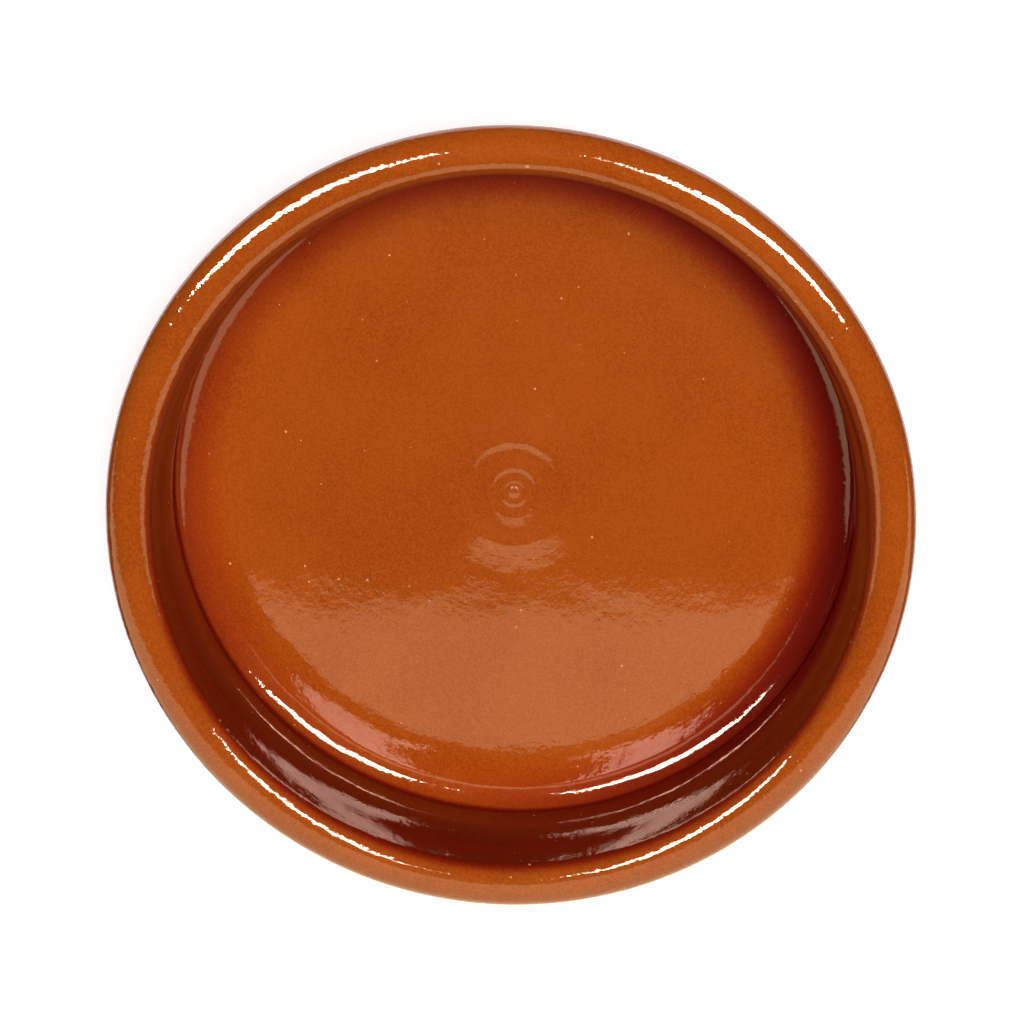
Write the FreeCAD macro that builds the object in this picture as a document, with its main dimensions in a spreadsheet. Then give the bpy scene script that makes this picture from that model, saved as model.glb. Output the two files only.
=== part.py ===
import FreeCAD, Part
import math
import os

import Sketcher
from FreeCAD import Vector

# A round, shallow cooking and serving dish of glazed earthenware, turned in one piece.
# Millimetres and degrees. The base stands on z = 0 and the turning axis is +Z.

DISH = "dish"

SIZES = {
    # Overall size, measured over the rounded bead of the rim
    "rim_diameter": 200,
    "dish_height": 49.5,
    # Rim bead, a full round roll of clay
    "bead_width": 11.6,
    "neck_radius": 3,
    # Wall: inside it leans in over the floor up to a soft belly, then flares out again to
    # a shallow throat under the bead. The outside narrows to the base.
    "wall_thickness": 7.4,
    "inside_lean": 8,
    "belly_radius": 44,
    "flare": 11,
    "throat_radius": 58,
    "rim_lean": 4,
    "outside_taper": 5,
    "foot_radius": 10,
    # Floor and the rounded corner where it meets the wall
    "floor_thickness": 6.5,
    "cove_radius": 5.4,
    # Button and finger rings that the potter leaves at the centre of the floor
    "button_diameter": 4.4,
    "button_height": 0.45,
    "first_ring_radius": 4.2,
    "ring_growth": 1.8,
    "ring_width_ratio": 0.6,
    "ring_height": 0.3,
    "ring_root": 1.5,
}

RING_NAMES = ["first_ring", "second_ring", "third_ring"]

doc = FreeCAD.newDocument("cazuela")


# Spreadsheet of driving sizes
def size_sheet():
    sheet = doc.addObject("Spreadsheet::Sheet", "Sizes")
    for row, (name, value) in enumerate(SIZES.items(), start=1):
        sheet.set(f"A{row}", name)
        sheet.set(f"B{row}", str(value))
        sheet.setAlias(f"B{row}", name)
    doc.recompute()
    return sheet


sheet = size_sheet()


def size(name):
    return float(sheet.get(name))


# Sketch helpers
def upright_sketch(body, name):
    """A sketch on the body's own XZ plane, where sketch Y is the turning axis."""
    plane = next(f for f in body.Origin.OriginFeatures if f.Role == "XZ_Plane")
    sketch = body.newObject("Sketcher::SketchObject", name)
    sketch.AttachmentSupport = [(plane, "")]
    sketch.MapMode = "FlatFace"
    return sketch


def line(sketch, start, end):
    return sketch.addGeometry(Part.LineSegment(start, end), False)


def arc(sketch, centre, radius, start, end):
    """An arc drawn anticlockwise from one point of its circle to another."""
    circle = Part.Circle(centre, Vector(0, 0, 1), radius)
    first = math.atan2(start.y - centre.y, start.x - centre.x)
    last = math.atan2(end.y - centre.y, end.x - centre.x)
    if last < first:
        last += 2 * math.pi
    return sketch.addGeometry(Part.ArcOfCircle(circle, first, last), False)


def constrain(sketch, *terms):
    return sketch.addConstraint(Sketcher.Constraint(*terms))


def bind(sketch, name, expression, *terms):
    """A dimension that is driven by an expression on the sheet."""
    index = constrain(sketch, *terms)
    sketch.renameConstraint(index, name)
    sketch.setExpression(f"Constraints.{name}", expression)


def revolve(body, sketch, name):
    turned = body.newObject("PartDesign::Revolution", name)
    turned.Profile = sketch
    turned.ReferenceAxis = (sketch, ["V_Axis"])
    turned.Angle = 360
    return turned


START, END, CENTRE = 1, 2, 3
ORIGIN = -1


# Section of the dish: base, foot arc, outer wall, neck arc, bead, throat arc, belly arc,
# inner wall, cove arc, floor
def dish_section(body):
    lean = math.radians(size("inside_lean"))
    flare = math.radians(size("flare"))
    rim_lean = math.radians(size("rim_lean"))
    taper = math.radians(size("outside_taper"))
    belly = size("belly_radius")
    throat = size("throat_radius")
    bead = size("bead_width") / 2
    neck = size("neck_radius")
    foot = size("foot_radius")
    cove = size("cove_radius")
    floor = size("floor_thickness")

    # Directions down each wall face, and square to it, out of the clay
    inside_down = Vector(math.sin(lean), -math.cos(lean))
    inside_out = Vector(-math.cos(lean), -math.sin(lean))
    outside_down = Vector(-math.sin(taper), -math.cos(taper))
    outside_out = Vector(math.cos(taper), -math.sin(taper))

    # The bead's circle, and the points where the inner wall leaves it and changes its bend
    throat_out = Vector(-math.cos(rim_lean), math.sin(rim_lean))
    belly_out = Vector(-math.cos(flare), math.sin(flare))
    bead_centre = Vector(size("rim_diameter") / 2 - bead, size("dish_height") - bead)
    inner_top = bead_centre + throat_out * bead
    throat_centre = inner_top + throat_out * throat
    throat_foot = throat_centre - belly_out * throat
    belly_centre = throat_foot - belly_out * belly
    belly_foot = belly_centre + inside_out * belly
    reach = (belly_foot.y - floor - cove * (1 + math.sin(lean))) / math.cos(lean)
    inner_foot = belly_foot + inside_down * reach
    cove_centre = inner_foot + inside_out * cove
    floor_edge = Vector(cove_centre.x, floor)

    # The outer face lies one wall thickness from the top of the inner face
    outer_line = inner_top + outside_out * size("wall_thickness")
    offset = (outer_line - bead_centre).dot(outside_out) + neck
    along = (outer_line - bead_centre).dot(outside_down)
    drop = math.sqrt((bead + neck) ** 2 - offset**2) - along
    neck_foot = outer_line + outside_down * drop
    neck_centre = neck_foot + outside_out * neck
    neck_top = bead_centre + (neck_centre - bead_centre) * (bead / (bead + neck))
    run = (outer_line.y - foot * (1 - math.sin(taper))) / math.cos(taper)
    outer_foot = outer_line + outside_down * run
    foot_centre = outer_foot - outside_out * foot
    base_edge = Vector(foot_centre.x, 0)

    sketch = upright_sketch(body, "dish_section")
    base_line = line(sketch, Vector(0, 0), base_edge)
    foot_arc = arc(sketch, foot_centre, foot, base_edge, outer_foot)
    outer_wall = line(sketch, outer_foot, neck_foot)
    neck_arc = arc(sketch, neck_centre, neck, neck_top, neck_foot)
    bead_arc = arc(sketch, bead_centre, bead, neck_top, inner_top)
    throat_arc = arc(sketch, throat_centre, throat, throat_foot, inner_top)
    belly_arc = arc(sketch, belly_centre, belly, throat_foot, belly_foot)
    inner_wall = line(sketch, inner_foot, belly_foot)
    cove_arc = arc(sketch, cove_centre, cove, floor_edge, inner_foot)
    floor_line = line(sketch, floor_edge, Vector(0, floor))
    axis_line = line(sketch, Vector(0, floor), Vector(0, 0))

    constrain(sketch, "Coincident", base_line, START, ORIGIN, START)
    constrain(sketch, "Coincident", axis_line, END, ORIGIN, START)
    constrain(sketch, "Coincident", floor_line, END, axis_line, START)
    constrain(sketch, "Horizontal", base_line)
    constrain(sketch, "Horizontal", floor_line)
    constrain(sketch, "Vertical", axis_line)
    constrain(sketch, "Tangent", base_line, END, foot_arc, START)
    constrain(sketch, "Tangent", foot_arc, END, outer_wall, START)
    constrain(sketch, "Tangent", outer_wall, END, neck_arc, END)
    constrain(sketch, "Tangent", neck_arc, START, bead_arc, START)
    constrain(sketch, "Tangent", bead_arc, END, throat_arc, END)
    constrain(sketch, "Tangent", throat_arc, START, belly_arc, START)
    constrain(sketch, "Tangent", belly_arc, END, inner_wall, END)
    constrain(sketch, "Tangent", inner_wall, START, cove_arc, END)
    constrain(sketch, "Tangent", cove_arc, START, floor_line, START)

    bead_x = "(Sizes.rim_diameter - Sizes.bead_width) / 2"
    bead_y = "Sizes.dish_height - Sizes.bead_width / 2"
    bind(sketch, "bead_out", bead_x, "DistanceX", ORIGIN, START, bead_arc, CENTRE, bead_centre.x)
    bind(sketch, "bead_up", bead_y, "DistanceY", ORIGIN, START, bead_arc, CENTRE, bead_centre.y)
    bind(sketch, "bead_round", "Sizes.bead_width / 2", "Radius", bead_arc, bead)
    bind(sketch, "neck_round", "Sizes.neck_radius", "Radius", neck_arc, neck)
    bind(sketch, "foot_round", "Sizes.foot_radius", "Radius", foot_arc, foot)
    bind(sketch, "cove_round", "Sizes.cove_radius", "Radius", cove_arc, cove)
    bind(sketch, "belly_round", "Sizes.belly_radius", "Radius", belly_arc, belly)
    bind(sketch, "throat_round", "Sizes.throat_radius", "Radius", throat_arc, throat)
    bind(sketch, "floor_up", "Sizes.floor_thickness", "Distance", axis_line, floor)
    thickness = size("wall_thickness")
    bind(sketch, "wall", "Sizes.wall_thickness", "Distance", bead_arc, END, outer_wall, thickness)

    # Two arcs meet at the angle that sets how far apart their centres lie in height
    rim_rise = "(Sizes.bead_width / 2 + Sizes.throat_radius) * sin(Sizes.rim_lean * 1 deg)"
    rise = throat_centre.y - bead_centre.y
    bind(sketch, "rim_lean", rim_rise, "DistanceY", bead_arc, CENTRE, throat_arc, CENTRE, rise)
    flare_rise = "(Sizes.throat_radius + Sizes.belly_radius) * sin(Sizes.flare * 1 deg)"
    rise = throat_centre.y - belly_centre.y
    bind(sketch, "flare", flare_rise, "DistanceY", belly_arc, CENTRE, throat_arc, CENTRE, rise)
    upright = math.pi / 2
    bind(sketch, "lean", "90 deg + Sizes.inside_lean * 1 deg", "Angle", inner_wall, upright + lean)
    bind(sketch, "taper", "90 deg - Sizes.outside_taper * 1 deg", "Angle", outer_wall, upright - taper)
    return sketch


# Button at the centre: a low cap that is rooted in the floor
def button_section(body):
    half = size("button_diameter") / 2
    rise = size("button_height")
    root = size("ring_root")
    floor = size("floor_thickness")
    radius = (half**2 + rise**2) / (2 * rise)

    top = Vector(0, floor + rise)
    edge = Vector(half, floor)
    sketch = upright_sketch(body, "button_section")
    cap = arc(sketch, Vector(0, top.y - radius), radius, edge, top)
    side = line(sketch, Vector(half, floor - root), edge)
    bottom = line(sketch, Vector(0, floor - root), Vector(half, floor - root))
    middle = line(sketch, top, Vector(0, floor - root))

    constrain(sketch, "Coincident", cap, START, side, END)
    constrain(sketch, "Coincident", side, START, bottom, END)
    constrain(sketch, "Coincident", bottom, START, middle, END)
    constrain(sketch, "Coincident", middle, START, cap, END)
    constrain(sketch, "Vertical", side)
    constrain(sketch, "Vertical", middle)
    constrain(sketch, "Horizontal", bottom)
    constrain(sketch, "PointOnObject", cap, CENTRE, -2)
    constrain(sketch, "PointOnObject", middle, START, -2)
    bind(sketch, "half_width", "Sizes.button_diameter / 2", "Distance", bottom, half)
    bind(sketch, "root", "Sizes.ring_root", "Distance", side, root)
    bind(sketch, "depth", "Sizes.ring_root + Sizes.button_height", "Distance", middle, root + rise)
    seat = "Sizes.floor_thickness"
    bind(sketch, "seat", seat, "DistanceY", ORIGIN, START, side, END, floor)
    return sketch


# Finger ring: a low round ridge, each one wider and further out than the last
def ring_section(body, name, order):
    crest = size("first_ring_radius") * size("ring_growth") ** order
    half = crest * size("ring_width_ratio") / 2
    rise = size("ring_height")
    root = size("ring_root")
    floor = size("floor_thickness")
    radius = (half**2 + rise**2) / (2 * rise)

    inner = Vector(crest - half, floor)
    outer = Vector(crest + half, floor)
    down = Vector(0, -root)
    sketch = upright_sketch(body, name + "_section")
    ridge = arc(sketch, Vector(crest, floor + rise - radius), radius, outer, inner)
    outer_side = line(sketch, outer + down, outer)
    bottom = line(sketch, inner + down, outer + down)
    inner_side = line(sketch, inner, inner + down)

    constrain(sketch, "Coincident", ridge, START, outer_side, END)
    constrain(sketch, "Coincident", outer_side, START, bottom, END)
    constrain(sketch, "Coincident", bottom, START, inner_side, END)
    constrain(sketch, "Coincident", inner_side, START, ridge, END)
    constrain(sketch, "Vertical", outer_side)
    constrain(sketch, "Vertical", inner_side)
    constrain(sketch, "Horizontal", bottom)
    constrain(sketch, "Horizontal", ridge, START, ridge, END)
    crest_out = f"Sizes.first_ring_radius * Sizes.ring_growth ^ {order}"
    width = f"{crest_out} * Sizes.ring_width_ratio"
    arc_round = f"(({width} / 2) ^ 2 + Sizes.ring_height ^ 2) / (2 * Sizes.ring_height)"
    bind(sketch, "crest", crest_out, "DistanceX", ORIGIN, START, ridge, CENTRE, crest)
    bind(sketch, "width", width, "Distance", bottom, 2 * half)
    bind(sketch, "rounding", arc_round, "Radius", ridge, radius)
    bind(sketch, "root", "Sizes.ring_root", "Distance", outer_side, root)
    seat = "Sizes.floor_thickness"
    bind(sketch, "seat", seat, "DistanceY", ORIGIN, START, outer_side, END, floor)
    return sketch


def make_dish():
    body = doc.addObject("PartDesign::Body", DISH)
    body.Label = DISH
    revolve(body, dish_section(body), "turned_dish")
    revolve(body, button_section(body), "button")
    for order, name in enumerate(RING_NAMES):
        revolve(body, ring_section(body, name, order), name)
    body.Placement = FreeCAD.Placement()
    return body


# Checks before anything is written
def check_document():
    for item in doc.Objects:
        faults = [state for state in item.State if state in ("Invalid", "Error")]
        if faults:
            raise RuntimeError(f"{item.Name} did not build: {faults}")
        if item.isDerivedFrom("Sketcher::SketchObject") and not item.FullyConstrained:
            raise RuntimeError(f"{item.Name} is not fully constrained")


def check_shape(body):
    shape = body.Shape
    if shape.isNull() or not shape.isValid() or len(shape.Solids) != 1:
        raise RuntimeError(f"{body.Label} is not one valid solid")
    return shape


dish = make_dish()
doc.recompute()
check_document()
shape = check_shape(dish)

os.makedirs("parts", exist_ok=True)
shape.exportStep(f"parts/{dish.Label}.step")
box = shape.optimalBoundingBox(True, False)
print(f"{dish.Label}: {box.XLength:.2f} x {box.YLength:.2f} x {box.ZLength:.2f} mm")
print(f"clay: {shape.Volume / 1000:.1f} cm3")
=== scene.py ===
# %% [markdown]
# This lesson dresses a round earthenware dish, a cazuela. The dish is thrown on a wheel in one piece and
# dipped in a clear honey glaze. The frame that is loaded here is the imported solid, in metres, standing on
# z = 0 with its turning axis on z. Everything below is fitted to its box.

# %% Load the frame
import math

import bpy
from mathutils import Matrix, Vector


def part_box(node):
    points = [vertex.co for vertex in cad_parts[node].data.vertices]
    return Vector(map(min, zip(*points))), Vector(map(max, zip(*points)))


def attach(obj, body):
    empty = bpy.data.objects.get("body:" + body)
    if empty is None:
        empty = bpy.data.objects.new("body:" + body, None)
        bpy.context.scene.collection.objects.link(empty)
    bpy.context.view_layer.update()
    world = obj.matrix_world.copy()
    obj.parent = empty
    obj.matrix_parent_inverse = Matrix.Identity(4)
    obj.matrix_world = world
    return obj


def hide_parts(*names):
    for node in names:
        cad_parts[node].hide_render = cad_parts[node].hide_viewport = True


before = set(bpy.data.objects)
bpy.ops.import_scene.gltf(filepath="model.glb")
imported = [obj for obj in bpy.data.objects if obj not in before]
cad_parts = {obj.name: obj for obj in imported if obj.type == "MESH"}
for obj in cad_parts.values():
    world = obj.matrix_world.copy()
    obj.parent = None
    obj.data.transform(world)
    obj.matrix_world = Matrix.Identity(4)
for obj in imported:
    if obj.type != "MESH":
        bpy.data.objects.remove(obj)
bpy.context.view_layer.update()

MM = 0.001
low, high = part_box("dish")
rim_radius = (high[0] - low[0]) / 2
dish_height = high[2]
print(f"dish solid: {2 * rim_radius / MM:.1f} mm across, {dish_height / MM:.1f} mm high")

# %% [markdown]
# The form of a thrown dish is its section, turned about the axis. A section could be a smooth curve
# through a few points, but gloss is strict: a highlight shows every place where the curvature is off. So
# the section is a chain of bends and straight runs, each tangent to the one before, as a potter's finger
# draws them. A lean of 0 is straight down, and a positive lean goes down towards the axis.

# %% Sizes of the section
bead_width = 11.6 * MM
neck_radius = 3 * MM
wall_thickness = 7.4 * MM
outside_taper = math.radians(5)
foot_radius = 10 * MM
floor_thickness = 6.5 * MM

rim_lean = math.radians(4)
inside_lean = math.radians(8)
throat_and_belly = [(math.radians(11), 58 * MM), (-inside_lean, 44 * MM)]
cove = [(math.radians(42), 3.0 * MM), (math.radians(68), 8.4 * MM), (math.radians(91), 6.0 * MM)]
gutter = [(math.radians(94), 88 * MM), (math.radians(90), 88 * MM)]

button_radius = 2.2 * MM
button_height = 0.45 * MM
first_ring_radius = 3.1 * MM
ring_growth = 2.16
ring_inner_ratio = 0.72
ring_outer_ratio = 1.55
first_ring_height = 0.26 * MM
ring_height_growth = 1.4
ring_count = 3
rings_reach = 26 * MM

bend_step = math.radians(2.5)
least_step = 0.25 * MM
most_step = 1.2 * MM


# %% Lines, arcs and bends
def line_points(start, end, step):
    """Points along a straight run, without the last one."""
    count = max(1, math.ceil((end - start).length / step))
    return [start.lerp(end, i / count) for i in range(count)]


def arc_points(centre, radius, start, end, step):
    """Points on an arc from one angle to another, without the last one."""
    count = max(2, math.ceil(abs(end - start) * radius / step))
    angles = [start + (end - start) * i / count for i in range(count)]
    return [centre + radius * Vector((math.cos(a), math.sin(a))) for a in angles]


def follow_bends(start, lean, bends):
    """Points after the start, down a wall through bends given by the lean they end at and their radius."""
    points = [start]
    for next_lean, radius in bends:
        swing = math.copysign(radius, next_lean - lean)
        step = min(max(radius * bend_step, least_step), most_step)
        count = max(3, math.ceil(abs(next_lean - lean) * radius / step))
        corner = points[-1]
        for i in range(1, count + 1):
            angle = lean + (next_lean - lean) * i / count
            across = math.cos(angle) - math.cos(lean)
            down = math.sin(lean) - math.sin(angle)
            points.append(corner + swing * Vector((across, down)))
        lean = next_lean
    return points[1:]


print(f"the cove turns through {len(cove)} radii, from {cove[0][1] / MM:.1f} to {cove[1][1] / MM:.1f} mm")

# %% [markdown]
# At the centre of the floor the potter's fingers leave a small button and a few low rings, each wider and
# further out than the last. They rise steeply inside and fall slowly outside, as the finger leaves them.
# They are a few tenths of a millimetre high and could be bump, but they bend every reflection that
# crosses them, so they are part of the section.


# %% Button and finger rings
def floor_rise(radius):
    """Height of the button and the finger rings over the flat of the floor."""
    rise = 0
    if radius < button_radius:
        rise += button_height * (0.5 + 0.5 * math.cos(math.pi * radius / button_radius))
    for order in range(ring_count):
        crest = first_ring_radius * ring_growth**order
        height = first_ring_height * ring_height_growth**order
        up = (crest - radius) / (crest * (1 - ring_inner_ratio))
        away = (radius - crest) / (crest * (ring_outer_ratio - 1))
        if 0 <= up < 1:
            rise += height * (0.5 + 0.5 * math.cos(math.pi * up))
        elif 0 < away < 1:
            rise += height * (1 - away) * (1 - 0.4 * away)
    return rise


crests = [first_ring_radius * ring_growth**order / MM for order in range(ring_count)]
print("finger rings at", ", ".join(f"{crest:.1f}" for crest in crests), "mm")


# %% The whole section
def inner_wall(top):
    """From the bead down the throat, belly, wall and cove to the flat of the floor."""
    points = [top] + follow_bends(top, rim_lean, throat_and_belly)
    corner = [Vector((0, 0))] + follow_bends(Vector((0, 0)), -inside_lean, cove + gutter)
    drop = points[-1].y + corner[-1].y - floor_thickness
    down = Vector((math.sin(inside_lean), -math.cos(inside_lean)))
    wall_foot = points[-1] + down * (drop / math.cos(inside_lean))
    points += line_points(points[-1], wall_foot, most_step)[1:]
    return points + [wall_foot + step for step in corner]


def dish_section():
    """Section points from the floor's centre, over the rim, to the centre of the base."""
    bead = bead_width / 2
    fine, middling, coarse = 0.42 * MM, 0.8 * MM, 2.4 * MM
    bead_centre = Vector((rim_radius - bead, dish_height - bead))
    inner_top = bead_centre + bead * Vector((-math.cos(rim_lean), math.sin(rim_lean)))
    inside = inner_wall(inner_top)

    down_out = Vector((-math.sin(outside_taper), -math.cos(outside_taper)))
    out_out = Vector((math.cos(outside_taper), -math.sin(outside_taper)))
    outer_line = inner_top + wall_thickness * out_out
    offset = (outer_line - bead_centre).dot(out_out) + neck_radius
    along = (outer_line - bead_centre).dot(down_out)
    neck_foot = outer_line + down_out * (math.sqrt((bead + neck_radius) ** 2 - offset**2) - along)
    neck_centre = neck_foot + neck_radius * out_out
    to_neck = neck_centre - bead_centre
    run = (outer_line.y - foot_radius * (1 - math.sin(outside_taper))) / math.cos(outside_taper)
    outer_foot = outer_line + run * down_out
    foot_centre = outer_foot - foot_radius * out_out

    neck_angle = math.atan2(to_neck.y, to_neck.x)
    quarter = math.pi / 2
    radii = [i * fine for i in range(round(rings_reach / fine))]
    points = [Vector((r, floor_thickness + floor_rise(r))) for r in radii]
    points += line_points(Vector((rings_reach, floor_thickness)), inside[-1], coarse)
    points += reversed(inside[1:])
    points += arc_points(bead_centre, bead, 2 * quarter - rim_lean, neck_angle, fine)
    from_bead, to_wall = neck_angle + 2 * quarter, 2 * quarter - outside_taper
    points += arc_points(neck_centre, neck_radius, from_bead, to_wall, fine)
    points += line_points(neck_foot, outer_foot, coarse)
    points += arc_points(foot_centre, foot_radius, -outside_taper, -quarter, middling)
    points += line_points(Vector((foot_centre.x, 0)), Vector((0, 0)), 2 * coarse)
    return points + [Vector((0, 0))]


section = dish_section()
belly = min(point.x for point in section if 20 * MM < point.y < 40 * MM)
print(f"section: {len(section)} points, {2 * belly / MM:.1f} mm clear at the belly")

# %% [markdown]
# Geometry Nodes turn the section. A grid has one column for each point of the section and one row for
# each station around the axis, and every vertex looks up its section point and is swung to its station.
# A thrown dish is never quite round, so two slow noises draw the wall in and the rim down by a few tenths
# of a millimetre here and there. They only ever pull inwards, so that the dish stays inside its solid, and
# they fade to nothing at the axis and at the base, which stays flat.


# %% Node helpers
def feed(tree, socket, value):
    """Links another node's output, or sets a plain value."""
    if isinstance(value, bpy.types.NodeSocket):
        tree.links.new(value, socket)
    else:
        socket.default_value = value


def add_node(tree, kind, inputs=None, **settings):
    node = tree.nodes.new(kind)
    for name, value in settings.items():
        setattr(node, name, value)
    for key, value in (inputs or {}).items():
        feed(tree, node.inputs[key], value)
    return node


def maths(tree, operation, first, second=0.0, clamp=False):
    node = add_node(tree, "ShaderNodeMath", {0: first, 1: second}, operation=operation, use_clamp=clamp)
    return node.outputs[0]


def total(tree, *terms):
    result = terms[0]
    for term in terms[1:]:
        result = maths(tree, "ADD", result, term)
    return result


def group_sockets(tree, inputs, outputs):
    for name, kind, value in inputs:
        socket = tree.interface.new_socket(name, in_out="INPUT", socket_type=kind)
        if value is not None:
            socket.default_value = value
    for name, kind in outputs:
        tree.interface.new_socket(name, in_out="OUTPUT", socket_type=kind)
    return add_node(tree, "NodeGroupInput").outputs


# %% Lathe tree
def lathe_tree():
    tree = bpy.data.node_groups.new("clay_lathe", "GeometryNodeTree")
    given = group_sockets(
        tree,
        [
            ("Section", "NodeSocketGeometry", None),
            ("Stations", "NodeSocketInt", 360),
            ("Radius", "NodeSocketFloat", 0.1),
            ("Height", "NodeSocketFloat", 0.05),
            ("Out Of Round", "NodeSocketFloat", 0.0),
            ("Rim Waver", "NodeSocketFloat", 0.0),
            ("Waver Scale", "NodeSocketFloat", 1.0),
            ("Seed", "NodeSocketFloat", 0.0),
            ("Material", "NodeSocketMaterial", None),
        ],
        [("Dish", "NodeSocketGeometry")],
    )
    count = add_node(tree, "GeometryNodeAttributeDomainSize", {0: given["Section"]}).outputs["Point Count"]
    rows = maths(tree, "ADD", given["Stations"], 1)
    grid = add_node(tree, "GeometryNodeMeshGrid", {"Vertices X": rows, "Vertices Y": count})
    index = add_node(tree, "GeometryNodeInputIndex").outputs[0]
    column = maths(tree, "MODULO", index, count)
    row = maths(tree, "FLOOR", maths(tree, "DIVIDE", maths(tree, "ADD", index, 0.5), count))
    looked_up = add_node(
        tree,
        "GeometryNodeSampleIndex",
        {"Geometry": given["Section"], "Index": column},
        data_type="FLOAT_VECTOR",
        domain="POINT",
    )
    tree.links.new(add_node(tree, "GeometryNodeInputPosition").outputs[0], looked_up.inputs["Value"])
    point = add_node(tree, "ShaderNodeSeparateXYZ", {0: looked_up.outputs[0]}).outputs

    turn = maths(tree, "MODULO", row, given["Stations"])
    angle = maths(tree, "DIVIDE", maths(tree, "MULTIPLY", turn, 2 * math.pi), given["Stations"])
    cosine = maths(tree, "COSINE", angle)
    sine = maths(tree, "SINE", angle)
    lift = maths(tree, "DIVIDE", point["Z"], given["Height"])
    reach = maths(tree, "DIVIDE", point["X"], given["Radius"])
    around = add_node(tree, "ShaderNodeCombineXYZ", {"X": cosine, "Y": sine, "Z": lift}).outputs[0]

    def inward_noise(offset):
        """A slow noise from -1 to 0, so that what it moves only moves one way."""
        seed = maths(tree, "ADD", given["Seed"], offset)
        inputs = {"Vector": around, "W": seed, "Scale": given["Waver Scale"]}
        slow = add_node(tree, "ShaderNodeTexNoise", inputs, noise_dimensions="4D").outputs["Fac"]
        limits = {0: slow, 1: 0.25, 2: 0.75, 3: -1.0, 4: 0.0}
        return add_node(tree, "ShaderNodeMapRange", limits).outputs[0]

    push = maths(tree, "MULTIPLY", inward_noise(0.0), given["Out Of Round"])
    sag = maths(tree, "MULTIPLY", inward_noise(7.3), given["Rim Waver"])
    sag = maths(tree, "MULTIPLY", sag, lift)
    radius = maths(tree, "ADD", point["X"], maths(tree, "MULTIPLY", push, reach))
    where = add_node(
        tree,
        "ShaderNodeCombineXYZ",
        {
            "X": maths(tree, "MULTIPLY", radius, cosine),
            "Y": maths(tree, "MULTIPLY", radius, sine),
            "Z": maths(tree, "ADD", point["Z"], maths(tree, "MULTIPLY", sag, reach)),
        },
    )
    placed = {"Geometry": grid.outputs["Mesh"], "Position": where.outputs[0]}
    turned = add_node(tree, "GeometryNodeSetPosition", placed).outputs[0]
    joined = {"Geometry": turned, "Distance": MM / 1000}
    closed = add_node(tree, "GeometryNodeMergeByDistance", joined).outputs[0]
    smooth = add_node(tree, "GeometryNodeSetShadeSmooth", {"Geometry": closed}).outputs[0]
    real = add_node(tree, "GeometryNodeRealizeInstances", {0: smooth}).outputs[0]
    finished = {"Geometry": real, "Material": given["Material"]}
    done = add_node(tree, "GeometryNodeSetMaterial", finished).outputs[0]
    add_node(tree, "NodeGroupOutput", {0: done})
    print(f"lathe tree: {len(tree.nodes)} nodes")
    return tree


clay_lathe = lathe_tree()


# %% Piece helpers
def plain_mesh_object(name, points, edges=(), faces=()):
    mesh = bpy.data.meshes.new(name)
    mesh.from_pydata([tuple(p) for p in points], list(edges), list(faces))
    item = bpy.data.objects.new(name, mesh)
    bpy.context.collection.objects.link(item)
    return item


def set_inputs(modifier, values):
    """Sets a Geometry Nodes modifier's inputs by the socket's own identifier."""
    for socket in modifier.node_group.interface.items_tree:
        if socket.item_type == "SOCKET" and socket.in_out == "INPUT" and socket.name in values:
            modifier[socket.identifier] = values[socket.name]


def freeze(item, name):
    """The evaluated result as a plain mesh object, with the builder object taken away."""
    evaluated = item.evaluated_get(bpy.context.evaluated_depsgraph_get())
    mesh = bpy.data.meshes.new_from_object(evaluated)
    mesh.name = name
    done = bpy.data.objects.new(name, mesh)
    bpy.context.collection.objects.link(done)
    bpy.data.objects.remove(item)
    return done


# %% [markdown]
# The finish is one material with two grounds: honey glaze inside and over the rim, and bare fired clay
# below a wandering edge on the outside. Colours are written as the eye sees them and turned to linear
# light here.


# %% Colour helpers
def linear(red, green, blue):
    def channel(value):
        value /= 255
        return value / 12.92 if value <= 0.04045 else ((value + 0.055) / 1.055) ** 2.4

    return (channel(red), channel(green), channel(blue), 1.0)


def mix_colour(tree, factor, first, second):
    node = add_node(tree, "ShaderNodeMix", data_type="RGBA")
    feed(tree, node.inputs[0], factor)
    feed(tree, node.inputs[6], first)
    feed(tree, node.inputs[7], second)
    return node.outputs[2]


def ramp(tree, value, from_edge, to_edge, to_low=0.0, to_high=1.0):
    """A soft step between two edges, which may be given in either order."""
    limits = {0: value, 1: from_edge, 2: to_edge, 3: to_low, 4: to_high}
    return add_node(tree, "ShaderNodeMapRange", limits, interpolation_type="SMOOTHSTEP").outputs[0]


def noise(tree, vector, size, detail=2.0, roughness=0.5):
    inputs = {"Vector": vector, "Scale": 1 / size, "Detail": detail, "Roughness": roughness}
    return add_node(tree, "ShaderNodeTexNoise", inputs).outputs["Fac"]


# %% [markdown]
# What happens to a thrown pot follows the wheel: pools, streaks and the glaze's edge all lie in rings. A
# UV map could carry that, but plain trigonometry on the object's own coordinates has no seam. The first
# group gives each point its distance from the axis and its direction, and the second draws fine lines
# that run round with the wheel. The third scatters small round marks, and is used for bubbles and pits.


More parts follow.
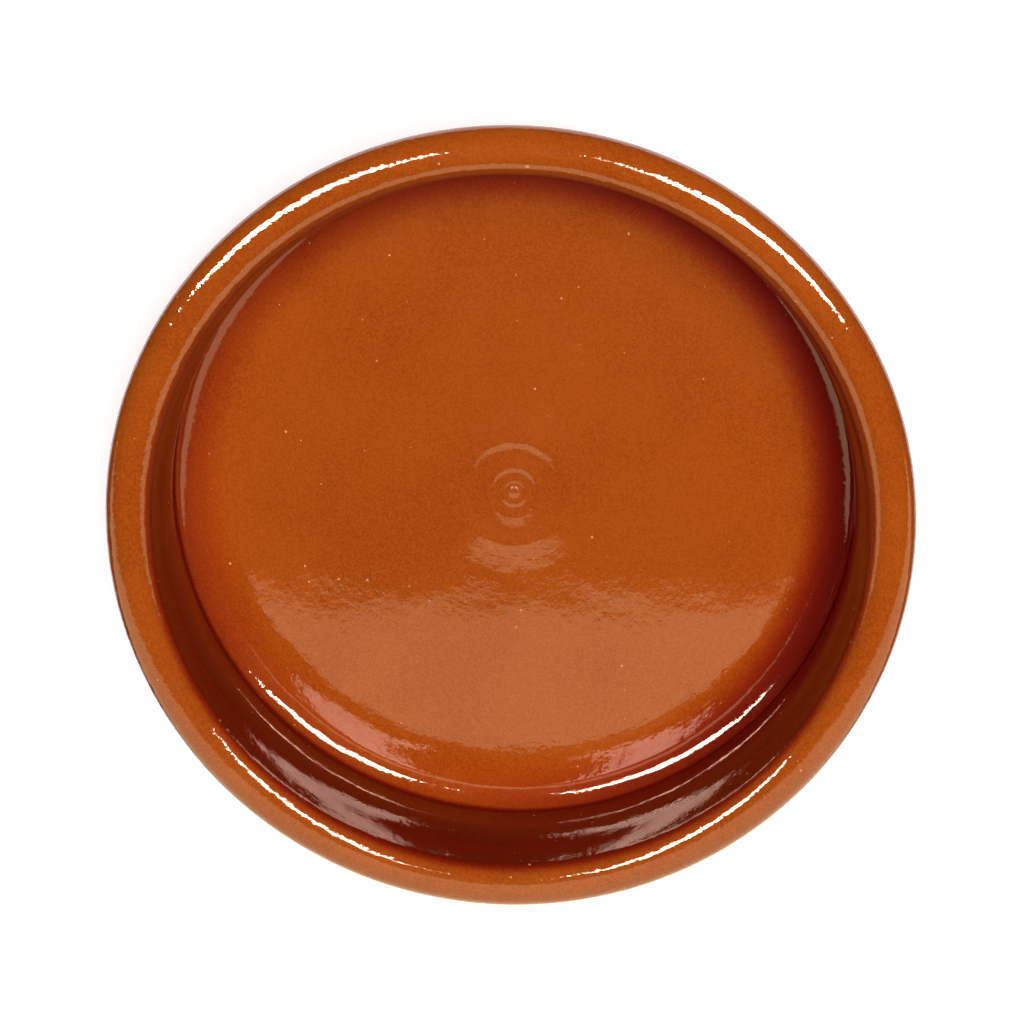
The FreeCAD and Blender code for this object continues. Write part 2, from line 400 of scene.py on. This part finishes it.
# %% Wheel groups
def wheel_place_group():
    tree = bpy.data.node_groups.new("wheel_place", "ShaderNodeTree")
    inputs = [("Vector", "NodeSocketVector", None)]
    outputs = [("Around", "NodeSocketVector"), ("Radius", "NodeSocketFloat"), ("Height", "NodeSocketFloat")]
    given = group_sockets(tree, inputs, outputs)
    parts = add_node(tree, "ShaderNodeSeparateXYZ", {0: given["Vector"]}).outputs
    flat = add_node(tree, "ShaderNodeCombineXYZ", {"X": parts["X"], "Y": parts["Y"]}).outputs[0]
    around = add_node(tree, "ShaderNodeVectorMath", {0: flat}, operation="NORMALIZE").outputs["Vector"]
    radius = add_node(tree, "ShaderNodeVectorMath", {0: flat}, operation="LENGTH").outputs["Value"]
    add_node(tree, "NodeGroupOutput", {0: around, 1: radius, 2: parts["Z"]})
    return tree


def throwing_lines_group():
    """Uneven lines that run round with the wheel, from 0 to 1."""
    tree = bpy.data.node_groups.new("throwing_lines", "ShaderNodeTree")
    inputs = [
        ("Around", "NodeSocketVector", None),
        ("Run", "NodeSocketFloat", 0.0),
        ("Line Width", "NodeSocketFloat", 0.001),
        ("Lines Vary", "NodeSocketFloat", 4.0),
    ]
    given = group_sockets(tree, inputs, [("Lines", "NodeSocketFloat")])
    step = maths(tree, "DIVIDE", given["Run"], given["Line Width"])
    across = add_node(tree, "ShaderNodeCombineXYZ", {"Z": step}).outputs[0]
    scaled = {0: given["Around"], "Scale": given["Lines Vary"]}
    along = add_node(tree, "ShaderNodeVectorMath", scaled, operation="SCALE").outputs["Vector"]
    place = add_node(tree, "ShaderNodeVectorMath", {0: along, 1: across}, operation="ADD").outputs["Vector"]
    settings = {"Vector": place, "Scale": 1.0, "Detail": 2.0}
    lines = add_node(tree, "ShaderNodeTexNoise", settings).outputs["Fac"]
    add_node(tree, "NodeGroupOutput", {0: lines})
    return tree


def speck_group():
    """A mask of small round marks, one in some of the cells of a Voronoi pattern."""
    tree = bpy.data.node_groups.new("scattered_specks", "ShaderNodeTree")
    inputs = [
        ("Vector", "NodeSocketVector", None),
        ("Cell Size", "NodeSocketFloat", 0.004),
        ("Speck Size", "NodeSocketFloat", 0.0003),
        ("Share", "NodeSocketFloat", 0.3),
    ]
    given = group_sockets(tree, inputs, [("Mask", "NodeSocketFloat")])
    scale = maths(tree, "DIVIDE", 1.0, given["Cell Size"])
    cells = add_node(tree, "ShaderNodeTexVoronoi", {"Vector": given["Vector"], "Scale": scale})
    pick = add_node(tree, "ShaderNodeSeparateColor", {0: cells.outputs["Color"]}).outputs
    reach = maths(tree, "DIVIDE", given["Speck Size"], given["Cell Size"])
    own_size = maths(tree, "MULTIPLY", reach, maths(tree, "ADD", 0.4, pick["Green"]))
    inside = maths(tree, "DIVIDE", maths(tree, "SUBTRACT", own_size, cells.outputs["Distance"]), own_size)
    chosen = maths(tree, "LESS_THAN", pick["Red"], given["Share"])
    soft = maths(tree, "MULTIPLY", inside, 2.0, clamp=True)
    add_node(tree, "NodeGroupOutput", {0: maths(tree, "MULTIPLY", soft, chosen)})
    return tree


wheel_place = wheel_place_group()
throwing_lines = throwing_lines_group()
scattered_specks = speck_group()
effect_groups = (wheel_place, throwing_lines, scattered_specks)
print("effect groups:", ", ".join(group.name for group in effect_groups))


# %% Effects as functions
def use_group(tree, group, inputs):
    """Outputs of a shader group that is fed by name."""
    node = add_node(tree, "ShaderNodeGroup", node_tree=group)
    for key, value in inputs.items():
        feed(tree, node.inputs[key], value)
    return node.outputs


def lines_around(tree, place, run, width, vary):
    inputs = {"Around": place["Around"], "Run": run, "Line Width": width, "Lines Vary": vary}
    return use_group(tree, throwing_lines, inputs)["Lines"]


def specks(tree, where, cell, size, share):
    inputs = {"Vector": where, "Cell Size": cell, "Speck Size": size, "Share": share}
    return use_group(tree, scattered_specks, inputs)["Mask"]


def direction_factor(tree, place, azimuth, spread, least):
    """1 on the side that an azimuth in degrees names, down to a least value where the spread ends."""
    way = (math.cos(math.radians(azimuth)), math.sin(math.radians(azimuth)), 0)
    inputs = {0: place["Around"], 1: way}
    dot = add_node(tree, "ShaderNodeVectorMath", inputs, operation="DOT_PRODUCT").outputs["Value"]
    limits = {0: dot, 1: math.cos(math.radians(spread)), 2: 1.0, 3: least, 4: 1.0}
    return add_node(tree, "ShaderNodeMapRange", limits).outputs[0]


# %% [markdown]
# Honey glaze is a coloured glass over red clay, orange where it lies thin. The inner wall, the steep
# side of the bead and a band of floor at the wall's foot are darkened in the colour as painted shade,
# where the lamp reaches them only at a slant or the walls shade them. The painted shade follows light
# through glass: a fixed share of each colour goes through for each step, so green dies long before red
# and the shade is maroon; mixing two colours would give a brown halfway. A power does that. The amount
# comes from the object's own normal, height and radius, and never from where the camera stands. At the
# wall's foot it is strongest on one side and weaker nearly opposite. Fine mottling breaks up the flat,
# and pale specks are bubble marks with painted glints.

# %% Glaze colours and painted shade
glaze_colour = linear(175, 80, 16)
glaze_dark = linear(138, 50, 5)
glaze_light = linear(188, 92, 22)
# The share of red, green and blue kept for each unit of painted shade, as light through deeper glaze.
shade_let_through = (0.3, 0.03, 0.3)
# Pale colour of the bubble marks, which is a painted glint.
glint_colour = linear(236, 170, 110)
pit_colour = linear(70, 24, 8)

# Painted shadow on the floor at the wall's foot, strongest on one side and weaker nearly opposite.
foot_shade_inner = 74 * MM
foot_shade_outer = 87 * MM
foot_shade_strength = 0.85
shaded_side = 25
shaded_spread = 127
shaded_least = 0.08
second_shade_side = 178
second_shade_spread = 62
second_shade_share = 0.15
foot_shade_top = 30 * MM
# Heights between which the inner wall gets its painted shade.
wall_start = floor_thickness + 1.2 * MM
wall_full = floor_thickness + 5.7 * MM
wall_fades = 36 * MM
wall_ends = 41 * MM

fine_size = 0.55 * MM
mottle_size = 2.2 * MM
drift_size = 30 * MM
# Small bubble marks: they carry a little bump, and their pale colour is a painted glint.
bubble_glint_specks = (4 * MM, 0.3 * MM, 0.4)
large_glint_specks = (19 * MM, 0.6 * MM, 0.3)


def darken_as_shade(tree, paint, shade_amount):
    """Painted shade: each colour falls by its own share for each unit of shade, as under deeper glaze."""
    shares = [maths(tree, "POWER", share, shade_amount) for share in shade_let_through]
    filter_colour = add_node(tree, "ShaderNodeCombineColor", dict(enumerate(shares))).outputs[0]
    filtered = add_node(tree, "ShaderNodeMix", data_type="RGBA", blend_type="MULTIPLY")
    for socket, value in zip((0, 6, 7), (1.0, paint, filter_colour)):
        feed(tree, filtered.inputs[socket], value)
    return filtered.outputs[2]


def painted_shade_depth(tree, place, upright, radial):
    """Painted shade: 0 on the open floor and the crest, and 1 on the inner wall and the steep side of the
    bead.
    """
    # Painted shadow in a band of floor at the wall's foot, strongest below the wall on the lamp's side.
    inside = maths(tree, "LESS_THAN", place["Height"], foot_shade_top)
    foot_shade = maths(tree, "MULTIPLY", ramp(tree, place["Radius"], foot_shade_inner, foot_shade_outer), inside)
    toward_shaded_side = direction_factor(tree, place, shaded_side, shaded_spread, shaded_least)
    toward_second_shade = direction_factor(tree, place, second_shade_side, second_shade_spread, 0.0)
    around = maths(tree, "ADD", toward_shaded_side, maths(tree, "MULTIPLY", toward_second_shade, second_shade_share))
    foot_shade = maths(tree, "MULTIPLY", maths(tree, "MULTIPLY", foot_shade, around), foot_shade_strength)

    # Painted shade on the inner wall and the steep side of the bead, which the lamp reaches only at a
    # slant.
    faces_in = ramp(tree, radial, 0.0, -0.25)
    steep = maths(tree, "MULTIPLY", ramp(tree, upright, 0.78, 0.0), faces_in)
    above_floor = ramp(tree, place["Height"], wall_start, wall_full)
    below_bead = ramp(tree, place["Height"], wall_ends, wall_fades)
    wall = maths(tree, "MULTIPLY", above_floor, below_bead)
    wall = maths(tree, "MULTIPLY", wall, ramp(tree, radial, 0.0, -0.1))
    return maths(tree, "MAXIMUM", foot_shade, maths(tree, "MAXIMUM", steep, wall))


def glaze_paint(tree, where, place, upright, radial):
    fine = noise(tree, where, fine_size, 2.0, 0.6)
    mottle = noise(tree, where, mottle_size, 3.0, 0.7)
    drift = noise(tree, where, drift_size)
    paint = mix_colour(tree, ramp(tree, fine, 0.35, 0.7, 0.0, 0.6), glaze_colour, glaze_dark)
    paint = mix_colour(tree, ramp(tree, mottle, 0.3, 0.7, 0.0, 0.2), paint, glaze_dark)
    paint = mix_colour(tree, ramp(tree, drift, 0.35, 0.65, 0.0, 0.2), paint, glaze_light)

    # Painted shade: the wall, the bead's steep side and the wall's foot are darkened to maroon.
    paint = darken_as_shade(tree, paint, painted_shade_depth(tree, place, upright, radial))

    # Painted glints: pale specks where the bubbles catch the light.
    bubbles_and_glints = specks(tree, where, *bubble_glint_specks)
    paint = mix_colour(tree, maths(tree, "MULTIPLY", bubbles_and_glints, 0.8), paint, glint_colour)
    large = specks(tree, where, *large_glint_specks)
    return mix_colour(tree, maths(tree, "MULTIPLY", large, 0.7), paint, glint_colour)


# %% [markdown]
# The outside is hidden in the photograph, and is finished as such dishes are: the glaze stops a little
# below the bead in a wandering edge, because the potter holds the dish by its foot when dipping it. The
# clay below is matt terracotta with sand in it and faint turning lines.

# %% Clay colours
clay_colour = linear(190, 112, 74)
clay_dark = linear(160, 84, 52)
clay_pale = linear(212, 146, 106)
edge_height = 34.5 * MM
edge_waver = 9 * MM
edge_size = 28 * MM
cloud_size = 22 * MM
grain_size = 0.5 * MM
clay_grit = (6 * MM, 0.5 * MM, 0.35)
turning_line = 1.3 * MM
turning_vary = 2.5


def turning_lines(tree, place):
    """Lines on the bare clay, which keep their width round the foot and over the base."""
    run = maths(tree, "SUBTRACT", place["Height"], place["Radius"])
    return lines_around(tree, place, run, turning_line, turning_vary)


def clay_paint(tree, where, place):
    lines = turning_lines(tree, place)
    paint = mix_colour(tree, ramp(tree, lines, 0.35, 0.7, 0.0, 0.45), clay_colour, clay_dark)
    cloud = noise(tree, where, cloud_size, 3.0)
    paint = mix_colour(tree, ramp(tree, cloud, 0.4, 0.7, 0.0, 0.5), paint, clay_pale)
    sand = noise(tree, where, grain_size, 2.0, 0.7)
    paint = mix_colour(tree, ramp(tree, sand, 0.5, 0.75, 0.0, 0.4), paint, clay_dark)
    grit = specks(tree, where, *clay_grit)
    return mix_colour(tree, maths(tree, "MULTIPLY", grit, 0.6), paint, clay_pale)


def bare_mask(tree, where, place, upright, radial):
    """1 on bare clay and 0 on glaze with a wandering edge, and a mask of the dark line above it."""
    slow = maths(tree, "SUBTRACT", noise(tree, where, edge_size, 3.0), 0.5)
    edge = maths(tree, "ADD", edge_height, maths(tree, "MULTIPLY", slow, edge_waver))
    below = maths(tree, "SUBTRACT", edge, place["Height"])
    low_enough = ramp(tree, below, -0.2 * MM, 0.2 * MM)
    outside = maths(tree, "MAXIMUM", ramp(tree, radial, 0.25, 0.4), ramp(tree, upright, -0.2, -0.5))
    bare = maths(tree, "MULTIPLY", low_enough, outside)
    rim_line = maths(tree, "MULTIPLY", ramp(tree, below, -1.6 * MM, -0.2 * MM), outside)
    return bare, maths(tree, "MULTIPLY", rim_line, maths(tree, "SUBTRACT", 1.0, bare))


# %% [markdown]
# Fired glaze is smooth as glass, but never flat. It has a fine orange peel, slow swells and faint lines
# from the wheel, and these tear the edges of every highlight. The heights are added up in millimetres and
# go through one Bump node, because chained Bump nodes each add their own error.


# %% Relief in millimetres
peel_size, peel_height = 2.4 * MM, 0.06
ripple_size, ripple_height = 0.9 * MM, 0.014
swell_size, swell_height = 17 * MM, 0.4
wheel_line, wheel_vary, wheel_height = 1.1 * MM, 5.0, 0.02
small_pits, pit_height = (11 * MM, 0.55 * MM, 0.16), -0.10
bubble_height = 0.04

rough_rim_side = 190
rough_rim_height = 0.08
rough_rim_starts = 38 * MM
rough_rim_full = 46 * MM

turning_height = 0.12
sand_size, sand_height = 0.6 * MM, 0.09


def glaze_relief(tree, where, place):
    run = maths(tree, "ADD", place["Radius"], place["Height"])
    on_rim = ramp(tree, place["Height"], rough_rim_starts, rough_rim_full)
    rough_side = direction_factor(tree, place, rough_rim_side, 180, 0.35)
    rim_share = maths(tree, "MULTIPLY", rough_side, rough_rim_height)
    own_peel = maths(tree, "ADD", peel_height, maths(tree, "MULTIPLY", on_rim, rim_share))
    peel = maths(tree, "MULTIPLY", noise(tree, where, peel_size, 2.0), own_peel)
    ripple = maths(tree, "MULTIPLY", noise(tree, where, ripple_size, 1.0), ripple_height)
    swell = maths(tree, "MULTIPLY", noise(tree, where, swell_size, 1.0), swell_height)
    wheel = lines_around(tree, place, run, wheel_line, wheel_vary)
    lines = maths(tree, "MULTIPLY", wheel, wheel_height)
    pits = maths(tree, "MULTIPLY", specks(tree, where, *small_pits), pit_height)
    bubbles_and_glints = maths(tree, "MULTIPLY", specks(tree, where, *bubble_glint_specks), bubble_height)
    return total(tree, peel, ripple, swell, lines, pits, bubbles_and_glints)


def clay_relief(tree, where, place):
    lines = maths(tree, "MULTIPLY", turning_lines(tree, place), turning_height)
    sand = maths(tree, "MULTIPLY", noise(tree, where, sand_size, 3.0, 0.7), sand_height)
    return maths(tree, "ADD", lines, sand)


# %% [markdown]
# The two grounds meet in one Principled BSDF. The mask picks the colour, the roughness and the height,
# and the constants, such as the index of refraction, stay on the shader's own sockets.


# %% Glazed earthenware
gloss_size = 6 * MM
smoothest = 0.035
roughest = 0.075
bare_roughness = 0.9
edge_darkness = 0.55


def dish_material():
    material = bpy.data.materials.new("glazed_earthenware")
    material.use_nodes = True
    tree = material.node_tree
    shader = tree.nodes["Principled BSDF"]
    given = add_node(tree, "ShaderNodeTexCoord").outputs
    where = given["Object"]
    place = use_group(tree, wheel_place, {"Vector": where})
    facing = given["Normal"]
    upright = add_node(tree, "ShaderNodeSeparateXYZ", {0: facing}).outputs["Z"]
    planar = {0: place["Around"], 1: facing}
    radial = add_node(tree, "ShaderNodeVectorMath", planar, operation="DOT_PRODUCT").outputs["Value"]

    bare, rim_line = bare_mask(tree, where, place, upright, radial)
    paint = glaze_paint(tree, where, place, upright, radial)
    paint = mix_colour(tree, maths(tree, "MULTIPLY", rim_line, edge_darkness), paint, pit_colour)
    paint = mix_colour(tree, bare, paint, clay_paint(tree, where, place))

    gloss = ramp(tree, noise(tree, where, gloss_size, 2.0), 0.3, 0.7, smoothest, roughest)
    rough_mix = {0: bare, 2: gloss, 3: bare_roughness}
    roughness = add_node(tree, "ShaderNodeMix", rough_mix, data_type="FLOAT").outputs[0]
    glaze_side = glaze_relief(tree, where, place)
    relief_mix = {0: bare, 2: glaze_side, 3: clay_relief(tree, where, place)}
    relief = add_node(tree, "ShaderNodeMix", relief_mix, data_type="FLOAT").outputs[0]
    bump = add_node(tree, "ShaderNodeBump", {"Strength": 1.0, "Distance": MM, "Height": relief})

    feed(tree, shader.inputs["Base Color"], paint)
    feed(tree, shader.inputs["Roughness"], roughness)
    feed(tree, shader.inputs["Normal"], bump.outputs[0])
    shader.inputs["IOR"].default_value = 1.5
    print(f"glazed earthenware: {len(tree.nodes)} nodes")
    return material


glazed = dish_material()

# %% [markdown]
# The section becomes a mesh line, the lathe turns it, and the result is kept as a plain closed mesh. It
# stands for the whole dish, because the dish is one piece of clay.

# %% Turn the dish
stations = 360
out_of_round = 0.3 * MM
rim_waver = 0.4 * MM
waver_scale = 1.1
waver_seed = 4.0

builder = plain_mesh_object(
    "dish_section",
    [(p.x, 0, p.y) for p in section],
    edges=[(i, i + 1) for i in range(len(section) - 1)],
)
lathe = builder.modifiers.new("lathe", "NODES")
lathe.node_group = clay_lathe
set_inputs(
    lathe,
    {
        "Stations": stations,
        "Radius": rim_radius,
        "Height": dish_height,
        "Out Of Round": out_of_round,
        "Rim Waver": rim_waver,
        "Waver Scale": waver_scale,
        "Seed": waver_seed,
        "Material": glazed,
    },
)
dish = freeze(builder, "thrown_dish")
print(f"thrown dish: {len(dish.data.vertices)} vertices, {len(dish.data.polygons)} faces")
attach(dish, "root")
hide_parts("dish")

# %% [markdown]
# The floor is plain and pale. Its paleness comes from its colour and from a little glow that cameras,
# mirrors and glass see, and not from more light, so it still takes the dish's shadow.


# %% Floor
floor_reach = 6.0
floor_grey = 0.85
floor_glow = 0.45


def seen_by_eye(tree):
    """1 for camera, glossy and transmission rays, and 0 for light that is scattered."""
    path = add_node(tree, "ShaderNodeLightPath").outputs
    mirrored = maths(tree, "ADD", path["Is Glossy Ray"], path["Is Transmission Ray"])
    return maths(tree, "ADD", path["Is Camera Ray"], mirrored, clamp=True)


def floor_material():
    material = bpy.data.materials.new("pale_floor")
    material.use_nodes = True
    tree = material.node_tree
    shader = tree.nodes["Principled BSDF"]
    shader.inputs["Base Color"].default_value = (floor_grey, floor_grey, floor_grey, 1)
    shader.inputs["Roughness"].default_value = 0.9
    shader.inputs["Specular IOR Level"].default_value = 0.0
    shader.inputs["Emission Color"].default_value = (1, 1, 1, 1)
    glow = maths(tree, "MULTIPLY", seen_by_eye(tree), floor_glow)
    feed(tree, shader.inputs["Emission Strength"], glow)
    return material


corner_signs = ((-1, -1), (1, -1), (1, 1), (-1, 1))
floor_corners = [(x * floor_reach, y * floor_reach, 0) for x, y in corner_signs]
floor = plain_mesh_object("floor", floor_corners, faces=[(0, 1, 2, 3)])
floor.data.materials.append(floor_material())
print(f"floor: {2 * floor_reach:.0f} m square")

# %% [markdown]
# A glossy bowl is lit twice over. Soft light brings out its colour, and what stands around it is drawn in
# its glaze. One lamp could do both, but then every change of tone would move a highlight. So one wide
# lamp overhead lights the clay and is left out of reflections, and cards show in the glaze only. Their
# outlines give the highlights their shapes.


# %% Lamp and cards
def soft_lamp(name, location, size, radiance, target):
    """A soft lamp that lights the clay but isn't mirrored in the glaze."""
    data = bpy.data.lights.new(name, "AREA")
    data.shape = "DISK"
    data.size = size
    data.energy = radiance * math.pi * math.pi * (size / 2) ** 2
    item = bpy.data.objects.new(name, data)
    item.location = location
    item.rotation_euler = (target - location).to_track_quat("-Z", "Y").to_euler()
    item.visible_glossy = False
    item.visible_camera = False
    bpy.context.collection.objects.link(item)


def card(name, corners, faces, strength, tint, fade=None):
    """A card that shows in the glaze only; its fade dims it from one height to another."""
    item = plain_mesh_object(name, corners, faces=faces)
    material = bpy.data.materials.new(name)
    material.use_nodes = True
    tree = material.node_tree
    tree.nodes.remove(tree.nodes["Principled BSDF"])
    glow = add_node(tree, "ShaderNodeEmission", {"Color": (*tint, 1), "Strength": strength})
    if fade:
        place = add_node(tree, "ShaderNodeTexCoord").outputs["Object"]
        level = add_node(tree, "ShaderNodeSeparateXYZ", {0: place}).outputs["Z"]
        feed(tree, glow.inputs["Strength"], ramp(tree, level, *fade, 0.0, strength))
    feed(tree, tree.nodes["Material Output"].inputs["Surface"], glow.outputs[0])
    item.data.materials.append(material)
    item.visible_camera = False
    item.visible_diffuse = False
    item.visible_transmission = False
    item.visible_volume_scatter = False
    item.visible_shadow = False
    print(f"card {name}: {len(faces)} faces, strength {strength}")


# %% Place the lights
lamp_place = Vector((0.12, 0.18, 1.0))
lamp_target = Vector((0, 0, 0.03))
lamp_size = 0.86
lamp_radiance = 6.9
soft_lamp("overhead", lamp_place, lamp_size, lamp_radiance, lamp_target)

backing_half = 2.0
backing_strength = 2.2
backing_fade = (0.152, 0.134)
backing_line = [(-0.0724, 0.152), (-0.1045, 0.0437), (-0.1175, 0.0)]
backing_corners = [(side * backing_half, y, z) for side in (-1, 1) for y, z in backing_line]
backing_faces = [(0, 3, 4, 1), (1, 4, 5, 2)]
backing_tint = (1.0, 0.72, 0.43)
card("backing", backing_corners, backing_faces, backing_strength, backing_tint, backing_fade)

bar_height = 0.4437
bar_strength = 66
bar_tint = (1.0, 0.64, 0.5)
bar_far_edge = [(0.55, 1.60), (1.2, 2.4), (2.1, 3.0), (3.1, 3.2), (4.4, 3.0), (6.0, 2.4)]
bar_near_edge = [(4.4, 1.75), (3.1, 1.5), (1.6, 1.5)]
for bar_name, side in (("right_bar", 1), ("left_bar", -1)):
    outline = bar_far_edge + bar_near_edge
    bar_corners = [(side * rim_radius * x, rim_radius * y, bar_height) for x, y in outline]
    card(bar_name, bar_corners, [tuple(range(len(bar_corners)))], bar_strength, bar_tint)

# %% [markdown]
# The world is white for whoever looks, straight or in a mirror, and nearly dark for scattered light. A
# dark cloth lies round the dish and a dark tent hangs over it, as black flags do in a studio, so that the
# glaze mirrors the pale floor only close by, and darkness everywhere else.

# %% World and tent
ambient = 0.04
tent_strength = 0.04
tent_sides = 48
tent_rings = [(0.16, 0.001), (2.6, 0.02), (2.6, 1.6), (1.2, 2.4)]
tent_angles = [2 * math.pi * i / tent_sides for i in range(tent_sides)]
tent_corners = [
    (reach * math.cos(angle), reach * math.sin(angle), height)
    for reach, height in tent_rings
    for angle in tent_angles
]
tent_faces = []
for low_ring in range(0, len(tent_corners) - tent_sides, tent_sides):
    high_ring = low_ring + tent_sides
    for i in range(tent_sides):
        j = (i + 1) % tent_sides
        tent_faces.append((low_ring + i, low_ring + j, high_ring + j, high_ring + i))
tent_faces.append(tuple(range(len(tent_corners) - tent_sides, len(tent_corners))))
card("dark_tent", tent_corners, tent_faces, tent_strength, (1.0, 1.0, 1.0))

world = bpy.data.worlds.new("pale_world")
world.use_nodes = True
bpy.context.scene.world = world
backdrop = world.node_tree.nodes["Background"]
backdrop.inputs["Color"].default_value = (1, 1, 1, 1)
world_tree = world.node_tree
eye_share = maths(world_tree, "MULTIPLY", seen_by_eye(world_tree), 1 - ambient)
feed(world_tree, backdrop.inputs["Strength"], maths(world_tree, "ADD", eye_share, ambient))
bpy.context.scene.view_settings.view_transform = "Standard"

# %% [markdown]
# The camera looks down on the dish from six rim radii away. Its tilt and swing were worked out from the
# rim's ellipse, and the mark is the pixel where the centre of the rim's circle falls, in a picture of
# 1024 pixels. A small shift puts it there without turning the camera off the axis.

# %% Camera
image_size = 1024
focal_pixels = 2434
camera_tilt = math.radians(16.78)
camera_swing = math.radians(82.2)
camera_distance = 6 * rim_radius
look_at = Vector((0, 0, dish_height - bead_width / 2))
mark_pixel = Vector((508.6, 532.4))


def photo_camera():
    data = bpy.data.cameras.new("camera")
    data.sensor_width = 36
    data.lens = focal_pixels / image_size * data.sensor_width
    data.shift_x = (image_size / 2 - mark_pixel.x) / image_size
    data.shift_y = (mark_pixel.y - image_size / 2) / image_size
    data.clip_start = 0.01
    sweep = math.sin(camera_tilt)
    away = Vector((sweep * math.cos(camera_swing), sweep * math.sin(camera_swing), math.cos(camera_tilt)))
    right = Vector((math.sin(camera_swing), -math.cos(camera_swing), 0))
    up = away.cross(right)
    roll = math.pi / 2 - camera_swing
    right_rolled = math.cos(roll) * right + math.sin(roll) * up
    up_rolled = math.cos(roll) * up - math.sin(roll) * right
    turn = Matrix((right_rolled, up_rolled, away)).transposed()
    camera = bpy.data.objects.new("camera", data)
    camera.matrix_world = Matrix.Translation(look_at + camera_distance * away) @ turn.to_4x4()
    bpy.context.collection.objects.link(camera)
    return camera


bpy.context.scene.camera = photo_camera()
print(f"camera: {camera_distance:.2f} m away, tilted {math.degrees(camera_tilt):.1f} degrees")
